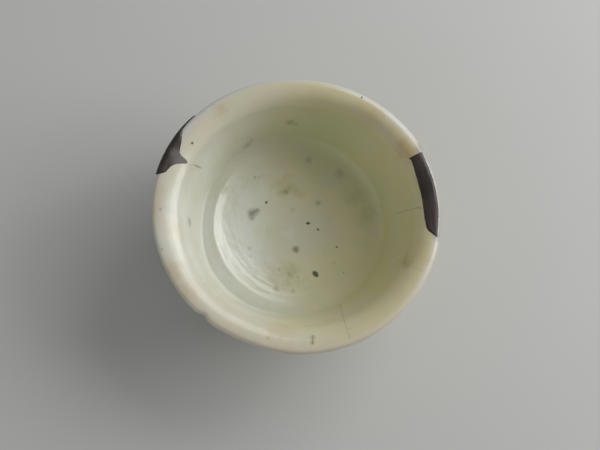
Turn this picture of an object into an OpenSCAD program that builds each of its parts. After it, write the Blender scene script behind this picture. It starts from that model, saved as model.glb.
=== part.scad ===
// Shallow sake cup of glazed porcelain, with two old breaks in its lip made good in lacquer.
// Millimetres, Z up. The origin is the middle of the foot ring, on the table it stands on.
// Angles round the cup run anticlockwise from +X, seen from above.

/* [Cup] */
// Diameter over the lip
rim_d = 72; // [68:0.5:84]
// Height from the table to the crest of the lip
height = 28; // [26:0.5:34]
// Thickness of the wall, glaze included
wall_t = 4; // [3:0.1:4.6]
// Radius of the belly, where the wall rounds in to the foot
belly_r = 12; // [9:0.5:14]

/* [Lip] */
// Distance from the lip's edge in to its crest
lip_w = 1.7; // [1.5:0.1:3]
// Thickness of the lip at its rounded edge, glaze included
lip_t = 2.8; // [2.2:0.1:3]
// Radius of the bend by which the wall turns out into the lip, on the inside
bend_r = 5.5; // [4.5:0.1:6.5]
// Radius of the neck under the lip, on the outside
neck_r = 8; // [5:0.5:12]

/* [Well] */
// Diameter of the sunken well at the ridge round it
well_d = 42; // [38:0.5:44]
// Height of the middle of the well's floor above the table
well_z = 7.6; // [7.2:0.1:9]
// Depth of the dish in the well's floor
dish_h = 1.2; // [0.6:0.1:1.6]
// Height of the ridge above the edge of the floor
step_h = 1.7; // [1.1:0.1:2]
// Width of the slope from the floor up to the ridge
step_w = 4.4; // [3.4:0.1:5.4]
// Radius of the ridge
ridge_r = 0.9; // [0.8:0.1:1.6]
// Width of the flat shelf between the ridge and the wall
shelf_w = 1.8; // [1:0.1:2.2]
// Radius of the hollow between the shelf and the wall
hollow_r = 1.6; // [1.2:0.1:2.6]

/* [Foot] */
// Diameter of the foot ring where it meets the bowl
foot_d = 34; // [30:0.5:36]
// Width of the foot ring where it stands
foot_w = 3; // [2:0.1:4]
// Height of the foot ring on its outside
foot_h = 6; // [5:0.1:6.4]
// Depth of the hollow under the foot
recess_h = 4.4; // [3.6:0.1:4.8]
// How far the foot ring draws in towards the table
foot_draw = 0.6; // [0:0.1:1]
// Radius where the hollow's side turns into its ceiling
recess_r = 1.2; // [0.8:0.1:2]

/* [Glaze] */
// Thickness of the glaze
glaze_t = 0.4; // [0.3:0.05:0.6]
// Height of the band at the foot that was wiped bare of glaze
bare_h = 1.8; // [1.4:0.1:2.4]

/* [Edge repair] */
// Direction of the end of the break that is furthest round
edge_at = 167.5; // [150:0.5:200]
// Angle of lip that the break takes in
edge_span = 29; // [24:1:40]
// How far the break runs in from the lip's edge, at its deepest
edge_reach = 6; // [4.4:0.1:6.4]
// How far the break goes down from the crest
edge_depth = 4.6; // [4.2:0.1:6]

/* [Band repair] */
// Direction of the band's middle
band_at = 9.5; // [-20:0.5:40]
// Angle of lip that the band takes in
band_span = 36.5; // [24:0.5:50]
// Width of the band across the lip
band_w = 4.2; // [3:0.1:4.6]
// Width of lip that is left outside the band
band_rest = 1.2; // [0.8:0.05:1.6]
// Depth of the band's seat, which follows the top of the lip
band_depth = 1.2; // [0.8:0.05:1.6]

/* [Repairs] */
// Thickness of the lacquer over the filler
lacquer_t = 0.35; // [0.25:0.05:0.5]

/* [Nick] */
// Direction of the small open nick in the lip's edge
nick_at = -132; // [-170:1:-90]
// Radius of the nick
nick_r = 2.4; // [1.5:0.1:3.5]
// Depth of the nick at its middle
nick_depth = 0.7; // [0.5:0.05:1]

/* [Hidden] */
$fn = 96;
// Degrees of arc between two points of a section's outline, and the least steps across the shallow dish
arc_step = 7;
dish_steps = 6;
// How far a cutting shape runs past what it cuts
clear = 2;

rim_r = rim_d / 2;
well_r = well_d / 2;
foot_r = foot_d / 2;
foot_in_r = foot_r - foot_draw - foot_w;
crest_r = rim_r - lip_w;
floor_r = well_r - step_w;
floor_z = well_z + dish_h;
shelf_z = floor_z + step_h;

// Centres of the two arcs that the inside of the wall runs between
hollow_c = [well_r + shelf_w, shelf_z + hollow_r];
bend_c = [crest_r, height - bend_r];
// Lean of the wall: its inside is the line that touches both arcs
bend_way = bend_c - hollow_c;
wall_lean = atan2(bend_way.y, bend_way.x) + asin((hollow_r + bend_r) / norm(bend_way));
// Directions up the wall and out of it, and a point on the wall's outside
wall_up = polar(1, wall_lean);
wall_out = polar(1, wall_lean - 90);
wall_p = bend_c - (bend_r - wall_t) * wall_out;

// Centre of the lip's rounded edge, which touches the bend from inside
nose_r = lip_t / 2;
lip_fall = asin((lip_w - nose_r) / (bend_r - nose_r));
nose_c = bend_c + polar(bend_r - nose_r, 90 - lip_fall);
// Centre of the neck, which touches the rounded edge and the wall's outside
neck_c = wall_point(up(nose_c) - other_leg(nose_r + neck_r, neck_r - out(nose_c)), neck_r);
neck_from = atan2(neck_c.y - nose_c.y, neck_c.x - nose_c.x);
// Centre of the belly, which touches the wall's outside and ends at the heel of the foot
heel = [foot_r + glaze_t, foot_h];
belly_c = wall_point(up(heel) + other_leg(belly_r, belly_r + out(heel)), -belly_r);

// Lean of the dish at its edge, and its radius
dish_lean = 2 * atan(dish_h / floor_r);
dish_r = floor_r / sin(dish_lean);
// The slope: a hollow sweep that goes on from the dish and touches the ridge, and its lean where they meet
sweep_gain = ridge_r - step_w * sin(dish_lean) - (ridge_r - step_h) * cos(dish_lean);
sweep_r = (step_w * step_w + step_h * step_h - 2 * ridge_r * step_h) / (2 * sweep_gain);
sweep_c = [floor_r, floor_z] + polar(sweep_r, 90 + dish_lean);
sweep_lean = asin((step_w + sweep_r * sin(dish_lean)) / (sweep_r + ridge_r));

// The edge break's line in plan, as shares of its span and of its reach, from its far end on.
// It starts and ends a little outside the lip's edge, so that it crosses the edge cleanly.
edge_line = [
    [0.00, -0.10], [0.03, 0.11], [0.08, 0.33], [0.16, 0.46], [0.23, 0.69], [0.27, 0.95], [0.33, 1.00],
    [0.37, 0.88], [0.39, 0.67], [0.43, 0.52], [0.52, 0.42], [0.62, 0.28], [0.72, 0.12], [0.85, 0.03],
    [1.00, -0.05]
];

function polar(r, a) = [r * cos(a), r * sin(a)];

// The other leg of a right-angled triangle, from its longest side and one leg
function other_leg(longest, leg) = sqrt(longest * longest - leg * leg);

// A point's distance up the wall and out of it, and the point at two such distances
function up(p) = (p - wall_p) * wall_up;
function out(p) = (p - wall_p) * wall_out;
function wall_point(u, o) = wall_p + u * wall_up + o * wall_out;

// Points of an arc from angle a to angle b in a least number of steps, without the first point where skip is 1
function arc(c, r, a, b, skip = 0, least = 1) =
    let (n = max(least, ceil(abs(b - a) / arc_step)))
    [for (i = [skip:n]) c + polar(r, a + (b - a) * i / n)];

function reversed(list) = [for (i = [len(list) - 1:-1:0]) list[i]];

// The glazed outline, sunk by t into the wall: the inside, the lip, the outside and the foot
function coated(t) = concat(
    arc([0, well_z + dish_r], dish_r + t, -90, dish_lean - 90, 0, dish_steps),
    arc(sweep_c, sweep_r + t, dish_lean - 90, sweep_lean - 90, 1),
    arc([well_r, shelf_z - ridge_r], ridge_r - t, 90 + sweep_lean, 90, 1),
    arc(hollow_c, hollow_r + t, -90, wall_lean - 90),
    arc(bend_c, bend_r - t, 90 + wall_lean, 90 - lip_fall),
    arc(nose_c, nose_r - t, 90 - lip_fall, neck_from, 1),
    arc(neck_c, neck_r + t, 180 + neck_from, 90 + wall_lean, 1),
    arc(belly_c, belly_r - t, wall_lean - 90, -acos((heel.x - t - belly_c.x) / (belly_r - t))),
    [[heel.x - t - foot_draw_at(bare_h), bare_h]]
);

// How far the foot has drawn in at height z
function foot_draw_at(z) = foot_draw * (foot_h - z) / foot_h;

// The hollow under the foot, from the ring's inner edge to the axis, sunk by t into the clay
function recess(t) = concat(
    [[foot_in_r + t, bare_h]],
    arc([foot_in_r - recess_r, recess_h - recess_r], recess_r + t, 0, 90),
    [[0, recess_h + t]]
);

// The bare ring that the cup stands on
bare_ring = [[foot_r - foot_draw, 0], [foot_in_r, 0]];

// A coat of thickness t over the whole glazed outline
module coat(t) {
    rotate_extrude() polygon(concat(coated(0), reversed(coated(t))));
}

// What is left of the cup under a coat of thickness t, above the foot
module core(t) {
    rotate_extrude() polygon(concat(coated(t), [[0, bare_h]]));
}

// The place of the edge break: it goes right through the lip
module edge_break() {
    inner = [for (p = edge_line) polar(rim_r - p[1] * edge_reach, edge_at - p[0] * edge_span)];
    outer = [for (s = [1, 0.5, 0]) polar(rim_r + clear, edge_at - s * edge_span)];
    translate([0, 0, height - edge_depth])
        linear_extrude(edge_depth + clear) polygon(concat(inner, outer));
}

// The place of the band: a seat in the top of the lip, with the lip's own edge left outside it
module band_break() {
    difference() {
        rotate([0, 0, band_at - band_span / 2])
            rotate_extrude(angle = band_span)
                translate([rim_r - band_rest - band_w, bend_c.y])
                    square([band_w, bend_r + clear]);
        rotate_extrude() translate(bend_c) circle(bend_r - band_depth);
    }
}

// The small open nick in the lip's edge
module nick() {
    rotate([0, 0, nick_at])
        translate([rim_r - nick_depth + nick_r, 0, nose_c.y - nick_r - clear])
            cylinder(r = nick_r, h = 2 * (nick_r + clear));
}

module losses() {
    edge_break();
    band_break();
    nick();
}

// Thrown and trimmed body with its foot ring
module clay_body() {
    color("BurlyWood") difference() {
        rotate_extrude() polygon(concat(coated(glaze_t), bare_ring, recess(glaze_t)));
        losses();
    }
}

// Glaze over the inside, the lip and the outside, down to the bare band
module glaze_coat() {
    color("Beige") difference() {
        coat(glaze_t);
        losses();
    }
}

// Glaze in the hollow under the foot
module foot_glaze() {
    color("Beige") rotate_extrude() polygon(concat(recess(0), reversed(recess(glaze_t))));
}

// Filler that rebuilds the lost piece of the lip's edge
module edge_repair_filler() {
    color("DarkSlateGray") intersection() {
        core(lacquer_t);
        edge_break();
    }
}

// Lacquer over that filler, on the top, the edge and the underside of the lip
module edge_repair_lacquer() {
    color("#3a2f2b") intersection() {
        coat(lacquer_t);
        edge_break();
    }
}

// Filler in the seat along the top of the lip
module band_repair_filler() {
    color("DarkSlateGray") intersection() {
        core(lacquer_t);
        band_break();
    }
}

// Lacquer over that filler
module band_repair_lacquer() {
    color("#3a2f2b") intersection() {
        coat(lacquer_t);
        band_break();
    }
}

clay_body();
glaze_coat();
foot_glaze();
edge_repair_filler();
edge_repair_lacquer();
band_repair_filler();
band_repair_lacquer();
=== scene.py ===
"""Looks of a small glazed sake cup with two lacquer repairs on its lip, built round its CAD frame.

Sizes are millimetres, as in the part's own source, and angles round the cup are degrees
anticlockwise from +X, seen from above. MM turns a size into Blender's metres. A pair of values named
for a rise, a fall or a span says where a smooth change starts and where it is complete, and a range
is a rise and a fall. A name that ends in R is a radius or goes by one.
"""
import math

import bmesh
import bpy
import numpy as np
from mathutils import Matrix, Vector, noise


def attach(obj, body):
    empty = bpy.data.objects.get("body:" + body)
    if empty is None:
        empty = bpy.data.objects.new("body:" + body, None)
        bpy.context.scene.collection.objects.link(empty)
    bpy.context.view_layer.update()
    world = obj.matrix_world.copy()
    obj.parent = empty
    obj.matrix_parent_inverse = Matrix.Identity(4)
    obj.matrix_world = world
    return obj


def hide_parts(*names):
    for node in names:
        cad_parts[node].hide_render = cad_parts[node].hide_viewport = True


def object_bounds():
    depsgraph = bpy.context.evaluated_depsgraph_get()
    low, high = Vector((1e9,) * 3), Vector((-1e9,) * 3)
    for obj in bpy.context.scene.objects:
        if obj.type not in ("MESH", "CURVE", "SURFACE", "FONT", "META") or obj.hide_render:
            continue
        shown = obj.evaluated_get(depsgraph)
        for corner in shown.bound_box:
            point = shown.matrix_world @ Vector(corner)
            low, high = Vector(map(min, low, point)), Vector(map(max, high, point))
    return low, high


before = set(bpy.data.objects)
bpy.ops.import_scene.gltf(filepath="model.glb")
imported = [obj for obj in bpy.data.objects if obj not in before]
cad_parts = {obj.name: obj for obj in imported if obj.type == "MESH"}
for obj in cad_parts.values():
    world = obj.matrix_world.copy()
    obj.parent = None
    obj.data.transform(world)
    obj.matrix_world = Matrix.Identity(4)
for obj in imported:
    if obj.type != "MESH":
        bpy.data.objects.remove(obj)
cad_low, cad_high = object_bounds()

MM = 0.001

# Sizes read from the frame
RIM_R = (cad_high.x - cad_low.x) / 2 / MM
HEIGHT = cad_high.z / MM

# Sizes of the section, as the part's source has them
WALL_T = 4
BELLY_R = 12
LIP_W = 1.7
LIP_T = 2.8
BEND_R = 5.5
NECK_R = 8
WELL_R = 21
WELL_Z = 7.6
DISH_H = 1.2
STEP_H = 1.7
STEP_W = 4.4
RIDGE_R = 0.9
FOOT_R = 17
FOOT_W = 3
FOOT_H = 6
FOOT_DRAW = 0.6
RECESS_H = 4.4
RECESS_R = 1.2
GLAZE_T = 0.4
BARE_H = 1.8
LACQUER_T = 0.35
# The shelf round the well, wider and with a tighter hollow than the source has
SHELF_W = 2.45
HOLLOW_R = 0.45
SHELF_Z = WELL_Z + DISH_H + STEP_H

# The lip out of round, growing from a height up
OVAL = 0.77
OVAL_AT = 7
THREE_LOBE = 0.22
THREE_LOBE_AT = 38
RIM_SHIFT = 0.7
RIM_SHIFT_AT = 218
DENT = 0.45
DENT_AT = 247
DENT_HALF = 14
OVAL_FROM_Z = 9
OVAL_RISE = 15.6
OVAL_POWER = 1.5
OVAL_FULL_R = 30
# The lip's waves up and down, with their shifts in radians
LIP_WAVE = 0.18
LIP_WAVE_SHIFT = 0.8
LIP_THREE = 0.09
LIP_THREE_SHIFT = 2
LIP_WAVE_RISE = (12, 27)
# The nick in the lip's edge
NICK_AT = -131.6
NICK_DEPTH = 0.75
NICK_HALF = 2.1
NICK_REACH = 3.2
# Lumps of the wall, which fade towards the foot and the axis
LUMP = 0.1
LUMP_SIZE = 13
LUMP_SEED = 3
LUMP_RISE = (4, 8)
LUMP_FULL_R = 18
# The wall: shifted to one side, and further in where it flares late
WALL_SHIFT = 0.5
WALL_SHIFT_AT = 225
FLARE = 0.7
FLARE_AT = 170
FLARE_SPAN = (15, 70)
WALL_RANGE = ((12, 25), (25.5, 28.6))
WALL_RISE_R = (20, 24)
# The hollow between shelf and wall: further out on one side, by heights over the shelf
HOLLOW_OUT = 0.9
HOLLOW_OUT_AT = 225
HOLLOW_OUT_SPAN = (10, 50)
HOLLOW_OUT_RANGE = ((-1.2, -0.5), (2, 9))
HOLLOW_OUT_FALL_R = (0.6, 3)
# The step: further in on the same side
STEP_IN = 0.9
STEP_IN_AT = 220
STEP_IN_SPAN = (8, 42)
STEP_IN_RISE = (6.6, 7.2)
STEP_IN_RANGE_R = ((13, 17), (18.8, 21.2))
# The soft sweep in place of the step and the shelf on the other side
SWEEP_FROM = 15
SWEEP_RISE = 2.5
SWEEP_AT = 25
SWEEP_SPAN = (62, 130)
SWEEP_FALL_DEEP = (1.4, 2.2)
# The thrower's faint spiral on the step, stronger in patches
GROOVE = 0.022
GROOVE_STEP = 1.95
GROOVE_AT = 18.9
GROOVE_FROM = 195
GROOVE_EVEN = 0.6
GROOVE_PATCHY = 0.8
GROOVE_PATCH = 6
GROOVE_SEED = 7
GROOVE_RISE = (6.4, 7)
GROOVE_RANGE_R = ((13.5, 17), (19.8, 21))
# Wear on the step's ridge, by heights over the middle of the well
WORN = 0.36
WORN_AT = 252
WORN_SPAN = (10, 48)
WORN_IN = 0.5
WORN_W = 1.1
WORN_RISE = (1, 1.6)
# The faint rings of the wheel on the walls
RIPPLE = 0.004
RIPPLE_STEP = 2.4
RIPPLE_SECOND = 0.6
RIPPLE_SECOND_STEP = 3.7
RIPPLE_SHIFT = 1
RIPPLE_RANGE = ((7, 9), (20, 24))
RIPPLE_RISE_R = (22, 25)
# The glaze's end on the foot: waves as (number round the cup, share, shift in radians), and its bead
GLAZE_LINE = 0.22
GLAZE_LINE_WAVES = [(2, 1, 0.6), (5, 0.7, 2.1), (11, 0.4, 0)]
BEAD_L = 0.9
BEAD_THIN = 0.8
# The bare foot ring: its soft edges, and its grit as (height, size, seed)
FOOT_EDGE_R = 0.35
GRIT = [(0.05, 0.7, 5), (0.04, 2.5, 9)]
GRIT_LIFT = 0.8
GRIT_FALL = 0.3
GRIT_RISE_R = 0.2
# The trimming spiral under the foot, and the nub at its middle
TRIM = 0.05
TRIM_STEP = 2.3
TRIM_RANGE_R = ((0.8, 3), (9.5, 12))
NUB = 0.35
NUB_R = 1.6

# Fineness of the meshes
TURNS = 288
SPACING = 0.5
DISH_SPACING = 0.35
FINE_SPACING = 0.25
RIDGE_SPACING = 0.08
FOOT_EDGE_SPACING = 0.12
HIDDEN_SPACING = 1.6
HIDDEN_TURN = 12
SWEEP_SLOPE_STEP = 0.05
SWEEP_POINTS = 200
REPAIR_STEP = 0.25
REPAIR_ROWS = 28
SHARP_TURN = 40
SLIVER = 0.005
SLIVER_PASSES = 8

# The edge repair: its line as (angle, distance in from the lip's edge), and its reach under the lip
EDGE_LINE = [
    (137.4, -0.1), (138.6, 0.12), (141, 0.2), (143.4, 0.3), (146.3, 0.62), (147.9, 1.26), (149.6, 1.91),
    (151.6, 2.49), (153.7, 2.93), (155.6, 3.4), (156.4, 4.1), (156.7, 5), (157.3, 5.5), (158, 5.55),
    (158.7, 5.3), (159.6, 4.63), (161, 3.67), (162.4, 3.03), (164, 2.66), (165.6, 2.3), (166.5, 1.6),
    (167.3, 0.7),
]
EDGE_TIPS = (0.4, 0.2)
EDGE_LEAST = 0.02
EDGE_UNDER = 2.5
EDGE_SEAT = 0.05
EDGE_SEAT_LEAST = 0.02
# The roll of its lacquer on the lip's edge, by lengths from the edge and from the lacquer's inner line
EDGE_SWELL = 0.4
EDGE_PROUD = 0.32
EDGE_ROLL_RISE = (3.2, 1.8)
EDGE_INNER_RISE = (0, 0.5)
# The band repair: its inner and outer lines, and the depth of its seat under the lip's top
BAND_INNER = [
    (-9.6, 1), (-8.8, 2.02), (-7.6, 3.22), (-6, 3.93), (-1.4, 4.53), (4, 4.76), (9.5, 4.86), (15, 4.97),
    (20.5, 4.8), (25.9, 4.35), (27, 4.4), (27.6, 4.7),
]
BAND_OUTER = [
    (-9.6, 0.7), (-7.1, 0.92), (-2.4, 0.9), (3, 0.87), (8.4, 0.9), (13.2, 0.92), (18, 0.98), (22.9, 0.96),
    (27.6, 0.8),
]
BAND_DEPTH = 1.2
# The lacquer of both: its lap on the glaze, its swell, and its brush waves as (across, along) rates
LACQUER_LAP = 0.2
LACQUER_LAP_SHARE = 0.3
LACQUER_LEAST = 0.012
LACQUER_SWELL = 0.12
LACQUER_RISE = (-0.05, 0.8)
LACQUER_SEAM = 0.004
BRUSH = 0.15
BRUSH_WAVES = [(3.1, 0.23), (5.3, -0.41)]
# The shake of the hand that drew the outlines
SHAKE = 0.07
SHAKE_TURN = 1.3
SHAKE_RISE = (0.1, 0.8)
# How far the shapes that cut the breaks stand above the glaze
CUT_ABOVE = 1.2

# The camera of the photograph's view, and where the middle of the lip falls in its 600 x 450 image
IMAGE_W = 600
IMAGE_H = 450
AIM_X = 299.9
AIM_Y = 212
AIM_Z = 26
CAMERA_TURN = -121.66
CAMERA_RISE = 74.85
CAMERA_AWAY = 251
LENS = 60
SENSOR_W = 36

# The studio, in metres and watts
LIGHT_AWAY = 0.6
WINDOW_SIZE = (0.4, 0.3)
WINDOW_COLOUR = (1, 1, 0.98)
FILL_SIZE = (0.7, 0.4)
FILL_COLOUR = (1, 1, 1)
WORLD_COLOUR = (0.24, 0.24, 0.24, 1)
FLOOR_HALF = 3.0
CLIP_START = 0.01


def polar(radius, degrees):
    """A point of the section or of the plan from its polar form."""
    turn = math.radians(degrees)
    return np.array([radius * math.cos(turn), radius * math.sin(turn)])


def direction(turn, rise=0):
    """A direction in space from its angle round the cup and its angle up."""
    turn, rise = math.radians(turn), math.radians(rise)
    return Vector((math.cos(turn) * math.cos(rise), math.sin(turn) * math.cos(rise), math.sin(rise)))


def smooth(value, low, high):
    """0 below low, 1 above high and a smooth rise between."""
    share = np.clip((value - low) / (high - low), 0, 1)
    return share * share * (3 - 2 * share)


def between(value, rise, fall):
    """A smooth rise from 0 to 1, and a smooth fall back to 0."""
    return smooth(value, *rise) * (1 - smooth(value, *fall))


def arc(centre, radius, start, end, spacing=SPACING):
    """Points along an arc of the section, without the first."""
    count = max(3, round(radius * math.radians(abs(end - start)) / spacing))
    turns = np.radians(np.linspace(start, end, count + 1)[1:])
    return np.stack([centre[0] + radius * np.cos(turns), centre[1] + radius * np.sin(turns)], axis=-1)


def line(start, end, spacing=SPACING):
    """Points along a straight stretch of the section, without the first."""
    start, end = np.array(start, float), np.array(end, float)
    count = max(1, round(float(np.hypot(*(end - start))) / spacing))
    share = np.linspace(0, 1, count + 1)[1:, None]
    return start + share * (end - start)


def other_leg(longest, leg):
    """The other leg of a right-angled triangle."""
    return math.sqrt(longest * longest - leg * leg)


def foot_draw_at(z):
    """How far the foot has drawn in at height z."""
    return FOOT_DRAW * (FOOT_H - z) / FOOT_H


def glazed_path():
    """The glazed outline from the middle of the well, over the lip and down to the bare foot."""
    # The wall touches the hollow of the shelf and the bend of the lip
    hollow_c = np.array([WELL_R + SHELF_W, SHELF_Z + HOLLOW_R])
    bend_c = np.array([RIM_R - LIP_W, HEIGHT - BEND_R])
    way = bend_c - hollow_c
    lean = math.degrees(math.atan2(way[1], way[0]) + math.asin((HOLLOW_R + BEND_R) / np.hypot(*way)))
    up, out = polar(1, lean), polar(1, lean - 90)
    # The lip's rounded edge, the neck and the belly
    wall_p = bend_c - (BEND_R - WALL_T) * out
    nose_r = LIP_T / 2
    fall = math.degrees(math.asin((LIP_W - nose_r) / (BEND_R - nose_r)))
    nose_c = bend_c + polar(BEND_R - nose_r, 90 - fall)
    neck_up = (nose_c - wall_p) @ up - other_leg(nose_r + NECK_R, NECK_R - (nose_c - wall_p) @ out)
    neck_c = wall_p + neck_up * up + NECK_R * out
    neck_from = math.degrees(math.atan2(neck_c[1] - nose_c[1], neck_c[0] - nose_c[0]))
    heel = np.array([FOOT_R + GLAZE_T, FOOT_H])
    belly_up = (heel - wall_p) @ up + other_leg(BELLY_R, BELLY_R + (heel - wall_p) @ out)
    belly_c = wall_p + belly_up * up - BELLY_R * out
    heel_turn = math.degrees(math.atan2(heel[1] - belly_c[1], heel[0] - belly_c[0]))
    # The dished floor of the well and the step up to the ridge
    floor_r, floor_z = WELL_R - STEP_W, WELL_Z + DISH_H
    floor_turn = 2 * math.atan(DISH_H / floor_r)
    dish_r = floor_r / math.sin(floor_turn)
    gain = RIDGE_R - STEP_W * math.sin(floor_turn) - (RIDGE_R - STEP_H) * math.cos(floor_turn)
    sweep_r = (STEP_W * STEP_W + STEP_H * STEP_H - 2 * RIDGE_R * STEP_H) / (2 * gain)
    step_turn = math.degrees(math.asin((STEP_W + sweep_r * math.sin(floor_turn)) / (sweep_r + RIDGE_R)))
    floor_turn = math.degrees(floor_turn)
    sweep_c = np.array([floor_r, floor_z]) + polar(sweep_r, 90 + floor_turn)
    wall_end = bend_c + polar(BEND_R, 90 + lean)
    outer_end = belly_c + polar(BELLY_R, lean - 90)
    return np.concatenate([
        [[0, WELL_Z]],
        arc([0, WELL_Z + dish_r], dish_r, -90, floor_turn - 90, DISH_SPACING),
        arc(sweep_c, sweep_r, floor_turn - 90, step_turn - 90, FINE_SPACING),
        arc([WELL_R, SHELF_Z - RIDGE_R], RIDGE_R, 90 + step_turn, 90, RIDGE_SPACING),
        line([WELL_R, SHELF_Z], [WELL_R + SHELF_W, SHELF_Z], FINE_SPACING),
        arc(hollow_c, HOLLOW_R, -90, lean - 90, FINE_SPACING),
        line(hollow_c + polar(HOLLOW_R, lean - 90), wall_end),
        arc(bend_c, BEND_R, 90 + lean, 90 - fall, FINE_SPACING),
        arc(nose_c, nose_r, 90 - fall, neck_from, FINE_SPACING),
        arc(neck_c, NECK_R, 180 + neck_from, 90 + lean),
        line(neck_c + polar(NECK_R, 90 + lean), outer_end),
        arc(belly_c, BELLY_R, lean - 90, heel_turn),
        line(heel, [heel[0] - foot_draw_at(BARE_H), BARE_H], FINE_SPACING),
    ])


def normals_of(path):
    """Directions out of the wall along a path that runs from the inside over the lip."""
    along = np.gradient(path, axis=0)
    out = np.stack([-along[:, 1], along[:, 0]], axis=-1)
    return out / np.linalg.norm(out, axis=1, keepdims=True)


PATH = glazed_path()
NORMAL = normals_of(PATH)
NORMAL[0] = (0, 1)
LENGTH = np.concatenate([[0], np.cumsum(np.hypot(*np.diff(PATH, axis=0).T))])
EDGE_INDEX = int(np.argmax(PATH[:, 0]))
# The outline's stretches up to the lip's edge, up to the lip's highest point, and back up to the edge
TO_EDGE = slice(0, EDGE_INDEX + 1)
TO_TOP = slice(0, int(np.argmax(PATH[:, 1])) + 1)
UNDER_EDGE = slice(len(PATH) - 1, EDGE_INDEX - 1, -1)


def on_path(length, lift):
    """Section points at lengths along the glazed outline, lifted off its surface."""
    point = np.stack([np.interp(length, LENGTH, PATH[:, k]) for k in range(2)], axis=-1)
    out = np.stack([np.interp(length, LENGTH, NORMAL[:, k]) for k in range(2)], axis=-1)
    out = out / np.linalg.norm(out, axis=-1, keepdims=True)
    return point + np.broadcast_to(lift, np.shape(length))[..., None] * out


def top_length(inset):
    """Length along the outline at a distance in from the lip's edge, on the top side."""
    return np.interp(RIM_R - inset, PATH[TO_EDGE, 0], LENGTH[TO_EDGE])


def under_length(inset):
    """Length along the outline at a distance in from the lip's edge, on the underside."""
    return np.interp(RIM_R - inset, PATH[UNDER_EDGE, 0], LENGTH[UNDER_EDGE])


def under_glaze():
    """The face between glaze and clay, with points only where it turns or has run on for a while."""
    along = np.gradient(PATH, axis=0)
    heading = np.degrees(np.unwrap(np.arctan2(along[:, 1], along[:, 0])))
    kept = [0]
    for index in range(1, len(PATH) - 1):
        far = LENGTH[index] - LENGTH[kept[-1]] > HIDDEN_SPACING
        if far or abs(heading[index] - heading[kept[-1]]) > HIDDEN_TURN:
            kept.append(index)
    kept.append(len(PATH) - 1)
    return (PATH - GLAZE_T * NORMAL)[kept]


def inside_radius(z):
    """Radius of the cup's inside, from the shelf up, at heights."""
    inside = PATH[TO_TOP]
    wall = inside[inside[:, 0] > WELL_R + SHELF_W / 2]
    return np.interp(z, wall[:, 1], wall[:, 0])


def inside_height(radius):
    """Height of the cup's inside at radii."""
    return np.interp(radius, PATH[TO_TOP, 0], PATH[TO_TOP, 1])


def sweep_lift():
    """Radii, and how far a soft sweep from floor to wall lies above the step and the shelf there."""
    step = SWEEP_SLOPE_STEP
    end_z = SHELF_Z + SWEEP_RISE
    ends = np.array([[SWEEP_FROM, inside_height(SWEEP_FROM)], [inside_radius(end_z), end_z]])
    slopes = [(inside_height(r + step) - inside_height(r - step)) / (2 * step) for r in ends[:, 0]]
    fall = ends[1, 1] - ends[0, 1] + slopes[0] * ends[0, 0] - slopes[1] * ends[1, 0]
    corner_r = fall / (slopes[0] - slopes[1])
    corner = np.array([corner_r, ends[0, 1] + slopes[0] * (corner_r - ends[0, 0])])
    share = np.linspace(0, 1, SWEEP_POINTS)[:, None]
    curve = (1 - share) ** 2 * ends[0] + 2 * share * (1 - share) * corner + share ** 2 * ends[1]
    return curve[:, 0], curve[:, 1] - inside_height(curve[:, 0])


SWEEP_R, SWEEP_LIFT = sweep_lift()


def lumps(points, size, seed):
    """Smooth noise from -1 to 1 at points, with features of about a size."""
    shift = Vector((seed, -seed, 0.5 * seed))
    return np.array([noise.noise(Vector(p) / size + shift) for p in points])


def turn_from(degrees, centre):
    """Angles from a centre angle, between -180 and 180."""
    return (degrees - centre + 180) % 360 - 180


def near(degrees, centre, span):
    """1 close to a centre angle, and a smooth fall to 0 over a span away from it on both sides."""
    return 1 - smooth(np.abs(turn_from(degrees, centre)), *span)


def rim_out(radius, degrees, z):
    """How far out the lip and the wall under it are from round."""
    out = OVAL * np.cos(2 * np.radians(degrees - OVAL_AT))
    out = out + THREE_LOBE * np.cos(3 * np.radians(degrees - THREE_LOBE_AT))
    out = out + RIM_SHIFT * np.cos(np.radians(degrees - RIM_SHIFT_AT))
    out = out - DENT * np.exp(-(turn_from(degrees, DENT_AT) / DENT_HALF) ** 2)
    rise = np.clip((z - OVAL_FROM_Z) / OVAL_RISE, 0, 1) ** OVAL_POWER
    return out * rise * np.clip(radius / OVAL_FULL_R, 0, 1)


def nick_in(radius, degrees):
    """How far in the nick cuts the lip's edge."""
    close = np.exp(-(turn_from(degrees, NICK_AT) / NICK_HALF) ** 2)
    return NICK_DEPTH * close * smooth(radius, RIM_R - NICK_REACH, RIM_R)


def lumps_out(points, radius, z):
    """How far out the lumps of the wall stand."""
    share = smooth(z, *LUMP_RISE) * np.clip(radius / LUMP_FULL_R, 0, 1)
    return LUMP * lumps(points, LUMP_SIZE, LUMP_SEED) * share


def wall_in(radius, degrees, z):
    """How far in the wall is below the lip."""
    shift = WALL_SHIFT * np.cos(np.radians(degrees - WALL_SHIFT_AT))
    inward = shift + FLARE * near(degrees, FLARE_AT, FLARE_SPAN)
    return inward * between(z, *WALL_RANGE) * smooth(radius, *WALL_RISE_R)


def hollow_out(radius, degrees, z):
    """How far out the foot of the wall's inner face is."""
    out = HOLLOW_OUT * near(degrees, HOLLOW_OUT_AT, HOLLOW_OUT_SPAN)
    out = out * between(z - SHELF_Z, *HOLLOW_OUT_RANGE)
    within = 1 - smooth(radius - inside_radius(z), *HOLLOW_OUT_FALL_R)
    return out * smooth(radius, WELL_R, WELL_R + SHELF_W) * within


def step_in(radius, degrees, z):
    """How far in the step is."""
    inward = STEP_IN * near(degrees, STEP_IN_AT, STEP_IN_SPAN)
    return inward * between(radius, *STEP_IN_RANGE_R) * smooth(z, *STEP_IN_RISE)


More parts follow.
